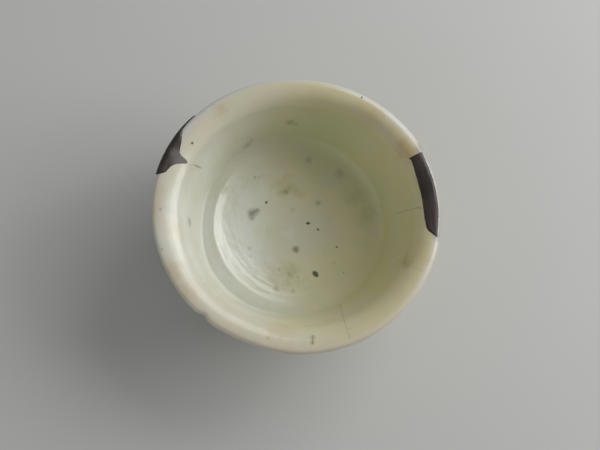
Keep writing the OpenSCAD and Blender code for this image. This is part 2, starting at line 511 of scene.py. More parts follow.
def lip_up(turn, z):
    """How far up the waves of the lip are."""
    wave = LIP_WAVE * np.sin(turn + LIP_WAVE_SHIFT) + LIP_THREE * np.sin(3 * turn + LIP_THREE_SHIFT)
    return wave * smooth(z, *LIP_WAVE_RISE)


def grooves_up(points, radius, degrees, z):
    """How far up the throwing marks on the step are."""
    spiral = radius - GROOVE_AT + GROOVE_STEP * turn_from(degrees, GROOVE_FROM) / 360
    patchy = GROOVE_EVEN + GROOVE_PATCHY * lumps(points, GROOVE_PATCH, GROOVE_SEED)
    marks = GROOVE * np.sin(2 * math.pi * spiral / GROOVE_STEP) * patchy
    return marks * between(radius, *GROOVE_RANGE_R) * smooth(z, *GROOVE_RISE)


def wear_down(radius, degrees, z):
    """How far down the step's ridge is worn."""
    worn = WORN * near(degrees, WORN_AT, WORN_SPAN)
    return worn * np.exp(-((radius - WELL_R + WORN_IN) / WORN_W) ** 2) * smooth(z - WELL_Z, *WORN_RISE)


def sweep_up(radius, degrees, z):
    """How far up the soft sweep is from the step and the shelf."""
    fill = np.interp(radius, SWEEP_R, SWEEP_LIFT, left=0, right=0)
    fill = fill * near(degrees, SWEEP_AT, SWEEP_SPAN)
    return fill * (1 - smooth(inside_height(radius) - z, *SWEEP_FALL_DEEP))


def thrown(points):
    """Points of the round cup, moved to where the thrower's hand and the kiln left them."""
    x, y, z = points.T
    radius, turn = np.hypot(x, y), np.arctan2(y, x)
    degrees = np.degrees(turn)
    out = rim_out(radius, degrees, z) - nick_in(radius, degrees) + lumps_out(points, radius, z)
    out = out - wall_in(radius, degrees, z) + hollow_out(radius, degrees, z) - step_in(radius, degrees, z)
    up = lip_up(turn, z) + grooves_up(points, radius, degrees, z)
    up = up - wear_down(radius, degrees, z) + sweep_up(radius, degrees, z)
    radius, z = radius + out, z + up
    return np.stack([radius * np.cos(turn), radius * np.sin(turn), z], axis=-1)


def turned(path):
    """A section path turned about the axis: one ring of points for each point of the path."""
    angle = np.arange(TURNS) * 2 * math.pi / TURNS
    radius, z = path[:, :1], path[:, 1:]
    return np.stack([radius * np.cos(angle), radius * np.sin(angle), z + 0 * angle], axis=-1)


def closed_turning(outline):
    """Points and faces of a solid of revolution, from an outline that leaves the axis and comes back."""
    rings = turned(outline[1:-1])
    ends = np.array([[0, 0, outline[0][1]], [0, 0, outline[-1][1]]])
    points = np.concatenate([rings.reshape(-1, 3), ends])
    index = np.arange(len(rings) * TURNS).reshape(len(rings), TURNS)
    here, after = index[:-1], index[1:]
    quads = np.stack([after, np.roll(after, -1, 1), np.roll(here, -1, 1), here], axis=-1).reshape(-1, 4)
    first, last = len(points) - 2, len(points) - 1
    fans = [(first, j, (j + 1) % TURNS) for j in range(TURNS)]
    fans += [(last, index[-1][(j + 1) % TURNS], index[-1][j]) for j in range(TURNS)]
    return points, quads.tolist() + fans


def loft(columns):
    """Points and faces of a solid through loops of points, with flat ends."""
    count, size, _ = columns.shape
    index = np.arange(count * size).reshape(count, size)
    here, after = index[:-1], index[1:]
    quads = np.stack([here, after, np.roll(after, -1, 1), np.roll(here, -1, 1)], axis=-1).reshape(-1, 4)
    return columns.reshape(-1, 3), quads.tolist() + [index[0].tolist(), index[-1][::-1].tolist()]


def finish_mesh(mesh):
    """Smooth shading that keeps real edges sharp."""
    mesh.polygons.foreach_set("use_smooth", [True] * len(mesh.polygons))
    mesh.set_sharp_from_angle(angle=math.radians(SHARP_TURN))
    mesh.update()


def add_object(name, data):
    """A new object in the scene."""
    added = bpy.data.objects.new(name, data)
    bpy.context.scene.collection.objects.link(added)
    return added


def mesh_piece(name, points, faces):
    """A new object from points in millimetres and faces, with its faces turned outward."""
    mesh = bpy.data.meshes.new(name)
    mesh.from_pydata((points * MM).tolist(), [], [[int(i) for i in face] for face in faces])
    shape = bmesh.new()
    shape.from_mesh(mesh)
    bmesh.ops.recalc_face_normals(shape, faces=shape.faces)
    shape.to_mesh(mesh)
    shape.free()
    finish_mesh(mesh)
    return add_object(name, mesh)


def close_slivers(shape):
    """Close up edges too short to see, wherever the skin stays whole. True if there were any."""
    merged, touched = {}, set()
    for edge in shape.edges:
        if edge.calc_length() < SLIVER * MM:
            first, second = edge.verts
            round_first = {e.other_vert(first) for e in first.link_edges}
            round_second = {e.other_vert(second) for e in second.link_edges}
            around = round_first | round_second
            if len(round_first & round_second) == 2 and not around & touched:
                merged[second] = first
                touched |= around
    bmesh.ops.weld_verts(shape, targetmap=merged)
    return bool(merged)


def clean_triangles(mesh):
    """Turn a mesh's faces into triangles, without slivers."""
    shape = bmesh.new()
    shape.from_mesh(mesh)
    bmesh.ops.triangulate(shape, faces=shape.faces)
    for _ in range(SLIVER_PASSES):
        if not close_slivers(shape):
            break
    shape.to_mesh(mesh)
    shape.free()


def cut(piece, cutters):
    """Take the cutters' shapes out of a piece."""
    for cutter in cutters:
        modifier = piece.modifiers.new("cut", "BOOLEAN")
        modifier.operation = "DIFFERENCE"
        modifier.solver = "MANIFOLD"
        modifier.object = cutter
    graph = bpy.context.evaluated_depsgraph_get()
    mesh = bpy.data.meshes.new_from_object(piece.evaluated_get(graph))
    piece.modifiers.clear()
    piece.data = mesh
    clean_triangles(mesh)
    finish_mesh(mesh)


def glaze_line(points):
    """Glaze points near the foot, moved so that the glaze ends in an uneven line."""
    turn = np.arctan2(points[:, 1], points[:, 0])
    wave = sum(part * np.sin(count * turn + shift) for count, part, shift in GLAZE_LINE_WAVES)
    share = np.clip((FOOT_H - points[:, 2]) / (FOOT_H - BARE_H), 0, 1)
    lift = GLAZE_LINE * wave * share
    moved = points.copy()
    moved[:, 2] += lift
    radius = np.hypot(points[:, 0], points[:, 1])
    grow = 1 + FOOT_DRAW * lift / FOOT_H / np.maximum(radius, 1)
    moved[:, :2] *= grow[:, None]
    return moved


def rippled(path, normals):
    """The glazed outline with the faint rings of the wheel on its walls."""
    radius, z = path.T
    share = between(z, *RIPPLE_RANGE) * smooth(radius, *RIPPLE_RISE_R)
    turns = 2 * math.pi * LENGTH
    wave = np.sin(turns / RIPPLE_STEP) + RIPPLE_SECOND * np.sin(turns / RIPPLE_SECOND_STEP + RIPPLE_SHIFT)
    return path + (RIPPLE * share * wave)[:, None] * normals


def glaze_coat():
    """The glaze over the inside, the lip and the outside, with a rounded bead where it ends."""
    left = LENGTH[-1] - LENGTH
    thinner = GLAZE_T * BEAD_THIN * np.sqrt(np.clip(1 - left / BEAD_L, 0, 1))
    outer = rippled(PATH, NORMAL) - thinner[:, None] * NORMAL
    points, faces = closed_turning(np.concatenate([outer, under_glaze()[::-1]]))
    return mesh_piece("glaze_coat_skin", thrown(glaze_line(points)), faces)


def recess_path(sink):
    """The hollow under the foot from its rim to the axis, sunk into the clay."""
    inner_r = FOOT_R - FOOT_DRAW - FOOT_W
    corner = [inner_r - RECESS_R, RECESS_H - RECESS_R]
    start = [inner_r + sink, BARE_H]
    turn_in = [inner_r + sink, corner[1]]
    ceiling = [corner[0], RECESS_H + sink]
    return np.concatenate([
        [start],
        line(start, turn_in, FINE_SPACING),
        arc(corner, RECESS_R + sink, 0, 90, FINE_SPACING),
        line(ceiling, [0, RECESS_H + sink]),
    ])


def gritty(points):
    """Clay points, with grit where the foot ring is bare."""
    inner_r = FOOT_R - FOOT_DRAW - FOOT_W
    radius = np.hypot(points[:, 0], points[:, 1])
    bare = 1 - smooth(points[:, 2], BARE_H, BARE_H + GRIT_FALL)
    bare = bare * smooth(radius, inner_r - GRIT_RISE_R, inner_r)
    grit = bare * sum(height * lumps(points, size, seed) for height, size, seed in GRIT)
    moved = points.copy()
    moved[:, :2] *= (1 + grit / np.maximum(radius, 1))[:, None]
    moved[:, 2] += GRIT_LIFT * np.abs(grit)
    return moved


def clay_body():
    """The thrown and trimmed body, which shows at the bare foot ring."""
    outer_r, inner_r = FOOT_R - FOOT_DRAW, FOOT_R - FOOT_DRAW - FOOT_W
    soft = FOOT_EDGE_R
    outer_top = [FOOT_R - foot_draw_at(BARE_H), BARE_H]
    ring = np.concatenate([
        [outer_top],
        line(outer_top, [outer_r, soft], FINE_SPACING),
        arc([outer_r - soft, soft], soft, 0, -90, FOOT_EDGE_SPACING),
        line([outer_r - soft, 0], [inner_r + soft, 0], FINE_SPACING),
        arc([inner_r + soft, soft], soft, -90, -180, FOOT_EDGE_SPACING),
        line([inner_r, soft], [inner_r, BARE_H], FINE_SPACING),
    ])
    points, faces = closed_turning(np.concatenate([under_glaze()[:-1], ring, recess_path(GLAZE_T)]))
    return mesh_piece("clay_body_turned", gritty(thrown(points)), faces)


def foot_glaze():
    """The glaze in the hollow under the foot, over the spiral that the trimming tool left."""
    back, face = recess_path(GLAZE_T), recess_path(0)
    points, faces = closed_turning(np.concatenate([back[::-1], face]))
    radius, turn = np.hypot(points[:, 0], points[:, 1]), np.arctan2(points[:, 1], points[:, 0])
    below = points[:, 2] < RECESS_H + GLAZE_T / 2
    spiral = np.sin(2 * math.pi * radius / TRIM_STEP - turn) * between(radius, *TRIM_RANGE_R)
    points[:, 2] += np.where(below, TRIM * spiral - NUB * np.exp(-(radius / NUB_R) ** 2), 0)
    return mesh_piece("foot_glaze_skin", points, faces)


def to_space(section, degrees):
    """Section points, one row for each angle, as points of the thrown cup."""
    turn = np.radians(degrees)[:, None]
    radius, z = section[..., 0], section[..., 1]
    points = np.stack([radius * np.cos(turn), radius * np.sin(turn), z], axis=-1)
    return thrown(points.reshape(-1, 3)).reshape(points.shape)


def hand_drawn(degrees, outline, seed):
    """Distances in from the lip's edge along an outline, with the small unevenness of a brush."""
    places, insets = np.array(outline).T
    inset = np.interp(degrees, places, insets)
    shake = lumps(np.stack([degrees, 0 * degrees, 0 * degrees], axis=-1), SHAKE_TURN, seed)
    return inset + SHAKE * shake * smooth(inset, *SHAKE_RISE)


def repair(name, degrees, start, end, back, lift):
    """A repair's lacquer and filler, and the cutter for its place, between two lengths on the outline.

    back gives the points of the break's inner face, from end to start, for each angle, and lift the
    height of the lacquer over the glaze.
    """
    share = np.linspace(0, 1, REPAIR_ROWS + 1)
    lap = np.minimum(LACQUER_LAP, LACQUER_LAP_SHARE * (end - start))
    low, high = start + lap, end - lap
    across = start[:, None] + (end - start)[:, None] * share
    within = low[:, None] + (high - low)[:, None] * share
    bed = on_path(within, -LACQUER_T)
    behind = back(low, high, within)
    lacquer = np.concatenate([
        on_path(across, lift(across - start[:, None], end[:, None] - across, degrees[:, None])),
        on_path(high[:, None], LACQUER_SEAM),
        bed[:, ::-1],
        on_path(low[:, None], LACQUER_SEAM),
    ], axis=1)
    filler = np.concatenate([bed, behind], axis=1)
    cutter = np.concatenate([on_path(within, CUT_ABOVE), bed[:, -1:], behind, bed[:, :1]], axis=1)
    shapes = [("lacquer_coat", lacquer), ("filler_core", filler), ("cutter", cutter)]
    return [mesh_piece(f"{name}_{part}", *loft(to_space(shape, degrees))) for part, shape in shapes]


def swell(from_start, from_end, degrees):
    """Height of the lacquer over the glaze: thin at its edges and fuller between, with brush unevenness."""
    rise = smooth(from_start, *LACQUER_RISE) * smooth(from_end, *LACQUER_RISE)
    waves = [np.sin(from_start * across + degrees * along) for across, along in BRUSH_WAVES]
    return LACQUER_LEAST + LACQUER_SWELL * rise * (1 + BRUSH * np.mean(waves, axis=0))


def edge_repair():
    """The repair that goes through the lip's edge."""
    degrees = np.arange(EDGE_LINE[0][0] + EDGE_TIPS[0], EDGE_LINE[-1][0] - EDGE_TIPS[1], REPAIR_STEP)
    inset = np.maximum(hand_drawn(degrees, EDGE_LINE, seed=4), EDGE_LEAST)
    start, end = top_length(inset), under_length(np.minimum(inset, EDGE_UNDER))

    def back(low, high, within):
        top, below = on_path(low, 0), on_path(high, 0)
        corner_z = np.minimum(below[:, 1] + EDGE_SEAT, top[:, 1] - EDGE_SEAT_LEAST)
        return np.stack([top[:, 0], corner_z], axis=-1)[:, None]

    def lift(from_start, from_end, turns):
        to_edge = LENGTH[EDGE_INDEX] - start[:, None] - from_start
        roll = smooth(to_edge, *EDGE_ROLL_RISE) * smooth(from_end, *LACQUER_RISE)
        roll = EDGE_PROUD * roll * smooth(from_start, *EDGE_INNER_RISE)
        return EDGE_SWELL * swell(from_start, from_end, turns) + roll

    return repair("edge_repair", degrees, start, end, back, lift)


def band_repair():
    """The repair along the top of the lip."""
    degrees = np.arange(BAND_INNER[0][0], BAND_INNER[-1][0] + REPAIR_STEP / 2, REPAIR_STEP)
    start = top_length(hand_drawn(degrees, BAND_INNER, seed=6))
    end = top_length(hand_drawn(degrees, BAND_OUTER, seed=8))

    def back(low, high, within):
        return on_path(within, -BAND_DEPTH)[:, ::-1]

    return repair("band_repair", degrees, start, end, back, swell)


def srgb(red, green, blue):
    """A linear colour from the 0 to 255 values that a picture shows."""
    shares = np.array([red, green, blue]) / 255
    linear = np.where(shares <= 0.04045, shares / 12.92, ((shares + 0.055) / 1.055) ** 2.4)
    return (*[float(v) for v in linear], 1)


class Shader:
    """A material whose nodes are made by short calls. Places and sizes are in millimetres."""

    NOISE_SHIFT = Vector((37, -11, 23))
    PLAN = (1, 1, 0)

    def __init__(self, name):
        self.material = bpy.data.materials.new(name)
        self.material.use_nodes = True
        self.tree = self.material.node_tree
        self.surface = self.tree.nodes["Principled BSDF"]
        place = self.node("ShaderNodeTexCoord").outputs["Object"]
        self.place = self.vector("SCALE", place, scale=1 / MM)

    def node(self, kind, **settings):
        node = self.tree.nodes.new(kind)
        for name, value in settings.items():
            setattr(node, name, value)
        return node

    def node_with(self, kind, **inputs):
        node = self.node(kind)
        for name, value in inputs.items():
            self.put(node.inputs[name], value)
        return node

    def put(self, socket, value):
        if isinstance(value, bpy.types.NodeSocket):
            self.tree.links.new(value, socket)
        else:
            socket.default_value = value

    def set(self, **inputs):
        for name, value in inputs.items():
            self.put(self.surface.inputs[name.replace("_", " ")], value)

    def math(self, operation, *values, clamp=False):
        node = self.node("ShaderNodeMath", operation=operation, use_clamp=clamp)
        for socket, value in zip(node.inputs, values):
            self.put(socket, value)
        return node.outputs[0]

    def times(self, first, second):
        return self.math("MULTIPLY", first, second)

    def vector(self, operation, *values, scale=None):
        node = self.node("ShaderNodeVectorMath", operation=operation)
        for socket, value in zip(node.inputs, values):
            self.put(socket, value)
        if scale is not None:
            self.put(node.inputs["Scale"], scale)
        return node.outputs["Value" if operation in ("LENGTH", "DISTANCE", "DOT_PRODUCT") else "Vector"]

    def split(self, place):
        return self.node_with("ShaderNodeSeparateXYZ", Vector=place).outputs

    def join(self, x=0, y=0, z=0):
        return self.node_with("ShaderNodeCombineXYZ", X=x, Y=y, Z=z).outputs[0]

    def in_plan(self, place):
        return self.vector("MULTIPLY", place, self.PLAN)

    def ramp(self, value, low, high, to_low=0, to_high=1):
        node = self.node("ShaderNodeMapRange", interpolation_type="SMOOTHSTEP")
        for socket, setting in zip(node.inputs, (value, low, high, to_low, to_high)):
            self.put(socket, setting)
        return node.outputs[0]

    def band(self, value, rise, fall):
        return self.times(self.ramp(value, *rise), self.ramp(value, *fall, 1, 0))

    def noise(self, size, detail=3, place=None, rough=0.5, seed=0):
        place = self.place if place is None else place
        moved = self.vector("ADD", place, seed * self.NOISE_SHIFT) if seed else place
        node = self.node_with("ShaderNodeTexNoise", Vector=moved, Scale=1 / size, Detail=detail,
                              Roughness=rough)
        return node.outputs["Fac"]

    def ring_noise(self, along, across):
        """Noise in strokes round the cup's axis, by its rates along and across them."""
        plan = self.in_plan(self.place)
        around = self.vector("SCALE", self.vector("NORMALIZE", plan), scale=along)
        outward = self.join(z=self.times(self.vector("LENGTH", plan), across))
        return self.noise(1, 1, place=self.vector("ADD", around, outward))

    def wander(self, rate, detail, reach):
        """Shifts of places by noise, over a reach."""
        node = self.node_with("ShaderNodeTexNoise", Vector=self.place, Scale=rate, Detail=detail)
        centred = self.vector("SUBTRACT", node.outputs["Color"], (0.5, 0.5, 0.5))
        return self.vector("SCALE", centred, scale=reach)

    def mix(self, share, first, second):
        node = self.node("ShaderNodeMix", data_type="RGBA")
        self.put(node.inputs["Factor"], share)
        self.put(node.inputs["A"], first)
        self.put(node.inputs["B"], second)
        return node.outputs["Result"]

    def patches(self, colour, tint, size, seed, start, full, strength, detail=3):
        """A colour with a tint over it in patches of noise."""
        share = self.ramp(self.noise(size, detail, seed=seed), start, full, 0, strength)
        return self.mix(share, colour, tint)

    def strongest(self, masks):
        result = masks[0]
        for mask in masks[1:]:
            result = self.math("MAXIMUM", result, mask)
        return result

    def bump(self, height, depth, under=None):
        node = self.node_with("ShaderNodeBump", Height=height, Strength=1, Distance=depth * MM)
        if under is not None:
            self.put(node.inputs["Normal"], under)
        return node.outputs["Normal"]


# Black iron specks: radius, angle, size across, strength
IRON_SPOTS = [
    (9.22, 135, 0.7, 0.9), (4.94, 14, 0.85, 0.95), (7.51, -3.5, 0.7, 0.9), (13.59, -22.9, 0.55, 0.85),
    (14.15, -62.7, 1.4, 0.92), (14.75, -62.2, 1.2, 0.9), (31.56, 149, 0.65, 0.97), (35.1, 62.4, 0.6, 0.8),
    (18.69, -41, 0.4, 0.5),
]
# Softer grey-green spots under the glaze
DULL_SPOTS = [
    (6.31, -76.5, 1.6, 0.75), (10.16, 42, 1.2, 0.45), (4.93, 81.7, 1, 0.2), (16.33, 126.7, 0.8, 0.35),
    (15.9, 123, 0.7, 0.25), (15.57, 119.2, 0.6, 0.2), (9.65, 97.1, 1.2, 0.4), (17.47, -102.7, 1.4, 0.35),
    (17.57, -88.4, 1.2, 0.25), (12.65, -150.3, 1, 0.25), (13.95, -142.3, 1, 0.25),
    (15.22, -39.2, 0.8, 0.2), (12.88, -91.8, 0.8, 0.3), (13.78, -81.7, 0.7, 0.3),
    (12.11, -104.7, 0.8, 0.25), (27.33, -175.8, 2.2, 0.45), (33.09, -104.1, 0.9, 0.25),
    (33.43, -178.5, 0.7, 0.45), (34.53, -162.5, 0.6, 0.4), (26.55, 93.1, 2, 0.4), (26.3, 90, 1.2, 0.3),
    (24.48, 120, 2, 0.28), (24.9, 117, 1.2, 0.3), (20.09, 48.6, 2.2, 0.3), (18.94, 75.5, 1.5, 0.32),
    (32, -84.6, 1.2, 0.35), (33.1, -85, 1.1, 0.35),
]
# The greenish black blotch: spots that run together
BLOTCH = [
    (10.96, 162.6, 1.9, 0.7), (10.69, 168, 1.4, 0.55), (10.4, 159, 1.6, 0.65), (9.9, 155, 1.1, 0.55),
]
# Broad clouds where the glaze pooled green, is greyer on the well's floor, or is stained cream, olive or
# tan, and pale clouds of painted sheen and light
GREEN_CLOUDS = [
    (26, 70, 18, 0.5), (25.42, 86.2, 7, 0.5), (24, 25, 13, 0.3), (23, 152, 5, 0.3), (6, -140, 9, 0.3),
]
# Painted light: pale clouds for the windows' reflection on the well's floor, the shelf and the lip on the
# lit side, and for more light on the walls, with one pale spot at the well's middle
PALE_SHEEN_CLOUDS = [
    (14.5, 185, 14, 0.7), (15, 216, 12, 0.75), (13.5, 152, 10, 0.45), (22.5, 188, 12, 0.4),
    (22.5, 220, 13, 0.45), (22.5, 250, 12, 0.3), (26.5, 147, 10, 0.4), (28, 298, 10, 0.35),
    (1.6, -100, 3.5, 0.45), (30, 178, 9, 0.5), (30, 205, 9, 0.35), (34.2, 195, 6, 0.45),
]
GREY_CLOUDS = [(3, -25, 13, 0.5), (8, 10, 9, 0.3), (9, 235, 7, 0.35)]
CREAM_CLOUDS = [(27.5, 272, 13, 0.5)]
OLIVE_CLOUDS = [
    (10.4, 97, 5, 0.55), (9.6, 82, 3.5, 0.35), (12.8, -92, 5.5, 0.5), (14, -110, 4, 0.3),
    (29.5, -24.1, 3.5, 0.6), (20.3, 8, 4.5, 0.25), (20.4, 28, 4.5, 0.28), (20.4, 44, 4, 0.2),
]
TAN_CLOUDS = [
    (32.3, 32, 5.5, 0.75), (32, 55, 7, 0.3), (31.5, 82, 8, 0.2), (34.3, -152.4, 4, 0.35),
    (34.1, -144, 3.5, 0.3), (32.83, 128.4, 4, 0.35), (31, -18, 6, 0.3), (30.5, -100, 7, 0.3),
    (28, -60, 9, 0.25), (35.2, 175, 5, 0.3), (35.3, 181, 4.5, 0.3),
]
# Hairline cracks: points of each from its end on a repair or the lip, and its strength
HAIRLINES = [
    ([(29.95, 157.9), (28.92, 156)], 0.15),
    ([(28.92, 156), (27.75, 154.4)], 0.55),
    ([(30.61, 3.6), (29.42, 4)], 0.35),
    ([(29.42, 4), (28, 4.5), (26.6, 4.8)], 0.22),
    ([(34.09, -69), (32.03, -68.9), (29.53, -67.5), (24.85, -60)], 0.2),
    ([(34.29, -25.5), (30.95, -25.3), (27.82, -22.5)], 0.12),
    ([(31.59, -84.4), (32.5, -84.9), (33.46, -85.1)], 0.45),
]
HAIRLINE_FALL = (0.06, 0.26)
HAIRLINE_WANDER = 0.35
# Painted shade: grey over the thin strip of glaze outside the band, darkening it
BAND_STRIP_SHADE = [(35.6, degrees, 4, 0.5) for degrees in range(-8, 29, 4)]
# Painted reflections of the windows, lighter on the lacquer: grey on the edge repair, purple-brown on the
# band
GREY_REFLECTIONS = [(31.6, 158.6, 4.6, 0.85), (32.9, 157, 3, 0.75)]
PURPLE_REFLECTIONS = [(33, -3, 4.4, 0.7), (32.8, 3.5, 4.4, 0.6)]

# The glaze's ground, from cool to straw across the cup: a painted colour of light, straw on the windows'
# side, where the inside lies in warm shade, and cool on the other side, where the inside faces the windows
LIT_COOL = srgb(213, 213, 200)
SHADED_STRAW = srgb(213, 206, 154)
SHADED_STRAW_AT = 10
SHADED_STRAW_RISE = (-27, 25)
SHADED_STRAW_DRIFT = 24
# Its patches: tint, size, seed, noise at which they start and are full, strength
PATCHES = [
    (srgb(202, 208, 170), 7, 2, 0.48, 0.7, 0.5),
    (srgb(212, 201, 170), 5, 6, 0.52, 0.72, 0.4),
    (srgb(203, 201, 188), 4, 7, 0.5, 0.7, 0.25),
]
# Its thin coat on the lip, in the same painted colour of light from cool to straw, and its pale edge, with
# a painted glint that whitens it on the side towards the windows
THIN_LIT_COOL = srgb(221, 214, 192)
THIN_SHADED_STRAW = srgb(212, 202, 164)
THIN_RISE = (24.5, 27)
EDGE_WARM = srgb(220, 211, 190)
EDGE_GLINT_WHITE = srgb(219, 216, 210)
EDGE_GLINT_AT = 75
EDGE_GLINT_RISE = (-30, 25)
EDGE_PALE_RISE_R = (33.2, 34.8)
EDGE_PALE = 0.9
# Its clouds and marks, the painted shade on the strip outside the band and the painted reflections on the
# lacquer: spots, softness of their outlines, tint
CLOUDS = [
    (GREEN_CLOUDS, 0.9, srgb(190, 203, 152)),
    (PALE_SHEEN_CLOUDS, 0.9, srgb(224, 229, 222)),
    (GREY_CLOUDS, 0.9, srgb(203, 200, 184)),
    (CREAM_CLOUDS, 0.9, srgb(228, 222, 184)),
    (OLIVE_CLOUDS, 0.9, srgb(168, 164, 112)),
    (TAN_CLOUDS, 0.9, srgb(194, 172, 120)),
]
MARKS = [
    (DULL_SPOTS, 0.8, srgb(102, 100, 58)),
    (BLOTCH, 0.95, srgb(84, 88, 48)),
    (IRON_SPOTS, 0.5, srgb(62, 53, 8)),
]
STRIP_SHADE = [(BAND_STRIP_SHADE, 0.6, srgb(122, 120, 120))]
LACQUER_REFLECTIONS = [(GREY_REFLECTIONS, 0.6, srgb(120, 114, 112)), (PURPLE_REFLECTIONS, 0.8, srgb(68, 54, 53))]
CRACK = srgb(92, 82, 58)
SPECK = srgb(128, 120, 90)
# Where the wheel's marks and the strokes on the step show in its skin
WHEEL_RANGE_R = ((10, 15), (20.5, 22.5))
STROKE_RANGE_R = ((13, 16), (20, 21.5))
# How strongly glaze and lacquer bend light
GLASS_IOR = 1.5

# The bare clay: two buffs, the flame line by height, dirt near the floor, and dark grains
BUFF = srgb(205, 186, 155)
DARK_BUFF = srgb(187, 166, 133)
FLAME = srgb(186, 122, 74)
FLAME_RISE = (1.5, 2.3)
FLAME_DRIFT = 0.8
FLAME_SHARE = 0.7
DIRT = srgb(112, 96, 76)
DIRT_FALL = (0.05, 0.5)
DIRT_SHARE = 0.55
DARK_GRAIN = srgb(84, 62, 44)

# The lacquer: two browns, darker brush strokes with their rates, and pale dust
BROWN = srgb(47, 40, 34)
WORN_BROWN = srgb(66, 53, 49)
STROKE_BROWN = srgb(36, 30, 26)
DUST = srgb(96, 84, 74)
STROKES_ROUND = 9
STROKES_ACROSS = 2.5


def top_place(radius, degrees):
    """The point of the thrown cup's inside or lip top at a radius and an angle."""
    z = float(np.interp(radius, PATH[TO_EDGE, 0], PATH[TO_EDGE, 1]))
    return tuple(float(v) for v in thrown(np.array([[*polar(radius, degrees), z]]))[0])


def spots(s, places, warped, soft):
    """Mask of a list of round spots with soft outlines, the strongest where they overlap."""
    masks = []
    for radius, degrees, size, strength in places:
        away = s.vector("DISTANCE", warped, top_place(radius, degrees))
        masks.append(s.ramp(away, size / 2 * (1 - soft), size / 2 * (1 + soft), strength, 0))
    return s.strongest(masks)


def stained(s, colour, stains, place):
    """A colour with tinted spots over it."""
    for places, soft, tint in stains:
        colour = s.mix(spots(s, places, place, soft), colour, tint)
    return colour


def stretch(s, plan, first, second, strength):
    """Mask of a straight stretch of a hairline, by the distance from it in plan."""
    way = second - first
    off = s.vector("SUBTRACT", plan, tuple(first))
    along = s.vector("DOT_PRODUCT", off, tuple(way))
    share = s.math("DIVIDE", along, way.length_squared, clamp=True)
    away = s.vector("DISTANCE", off, s.vector("SCALE", tuple(way), scale=share))
    return s.ramp(away, *HAIRLINE_FALL, strength, 0)


def hairlines(s, warped):
    """Mask of the hairline cracks, which go right through the wall."""
    masks = []
    plan = s.in_plan(warped)
    for points, strength in HAIRLINES:
        places = [Vector((*top_place(*point)[:2], 0)) for point in points]
        masks += [stretch(s, plan, first, second, strength) for first, second in zip(places, places[1:])]
    return s.strongest(masks)


def glaze_ground(s, radius, height):
    """Colour of the glaze without its stains, with a painted colour of light from cool to straw across the
    cup and a painted glint on the lip's edge.
    """
    # Painted colour of light: straw on the windows' side, where the inside lies in warm shade, cool where
    # the inside faces the windows
    drift = s.times(s.math("SUBTRACT", s.noise(13, 4), 0.5), SHADED_STRAW_DRIFT)
    side = s.vector("DOT_PRODUCT", s.place, direction(SHADED_STRAW_AT))
    side = s.ramp(s.math("ADD", side, drift), *SHADED_STRAW_RISE)
    colour = s.mix(side, LIT_COOL, SHADED_STRAW)
    for patch in PATCHES:
        colour = s.patches(colour, *patch)
    patchy = s.ramp(s.noise(5, seed=3), 0.3, 0.7, to_low=0.35)
    thin = s.times(s.ramp(height, *THIN_RISE), patchy)
    colour = s.mix(thin, colour, s.mix(side, THIN_LIT_COOL, THIN_SHADED_STRAW))
    # Painted glint: the lip's edge turns whiter towards the windows
    glint_side = s.ramp(s.vector("DOT_PRODUCT", s.place, direction(EDGE_GLINT_AT)), *EDGE_GLINT_RISE)
    edge = s.mix(glint_side, EDGE_WARM, EDGE_GLINT_WHITE)
    return s.mix(s.ramp(radius, *EDGE_PALE_RISE_R, to_high=EDGE_PALE), colour, edge)


def glaze_stains(s, colour):
    """The glaze's colour with its clouds, partly painted sheen, marks, hairlines, painted shade on the
    strip outside the band and fine specks.
    """
    shift = s.wander(rate=1.4, detail=2, reach=0.7)
    warped = s.vector("ADD", s.place, shift)
    broad = s.vector("ADD", s.place, s.wander(rate=0.35, detail=3, reach=7))
    colour = stained(s, stained(s, colour, CLOUDS, broad), MARKS, warped)
    cracked = s.vector("ADD", s.place, s.vector("SCALE", shift, scale=HAIRLINE_WANDER))
    colour = s.mix(hairlines(s, cracked), colour, CRACK)
    # Painted shade on the thin strip of glaze outside the band
    colour = stained(s, colour, STRIP_SHADE, s.place)
    return s.patches(colour, SPECK, size=0.7, seed=4, start=0.72, full=0.8, strength=0.3, detail=1)


def glaze_skin(s, radius, fine):
    """Relief of the glaze: the wheel's marks, strokes on the step, lumps and fine grain."""
    wheel = s.times(s.band(radius, *WHEEL_RANGE_R), s.ring_noise(along=4.5, across=0.45))
    stroke = s.times(s.band(radius, *STROKE_RANGE_R), s.ring_noise(along=5.5, across=1))
    skin = s.bump(wheel, depth=0.16)
    skin = s.bump(stroke, depth=0.09, under=skin)
    skin = s.bump(fine, depth=0.03, under=skin)
    skin = s.bump(s.noise(5, 2, seed=8), depth=0.07, under=skin)
    return s.bump(s.noise(0.5, 2, seed=5), depth=0.004, under=skin)


def glaze_material():
    """Pale glaze, with a painted cool tint of window light on one side and a painted straw tint of warm
    shade on the other, a painted glint on its edge, clouded, partly with painted sheen, specked and
    cracked.
    """
    s = Shader("pale_glaze")
    radius = s.vector("LENGTH", s.in_plan(s.place))
    fine = s.noise(2.6, 5, seed=1)
    colour = glaze_stains(s, glaze_ground(s, radius, s.split(s.place)[2]))
    skin = glaze_skin(s, radius, fine)
    s.set(Base_Color=colour, Roughness=s.ramp(fine, 0.3, 0.75, to_low=0.34, to_high=0.46), IOR=GLASS_IOR)
    s.set(Coat_Weight=0.5, Coat_Roughness=0.1, Coat_IOR=GLASS_IOR)
    s.set(Normal=skin, Coat_Normal=skin)
    return s.material


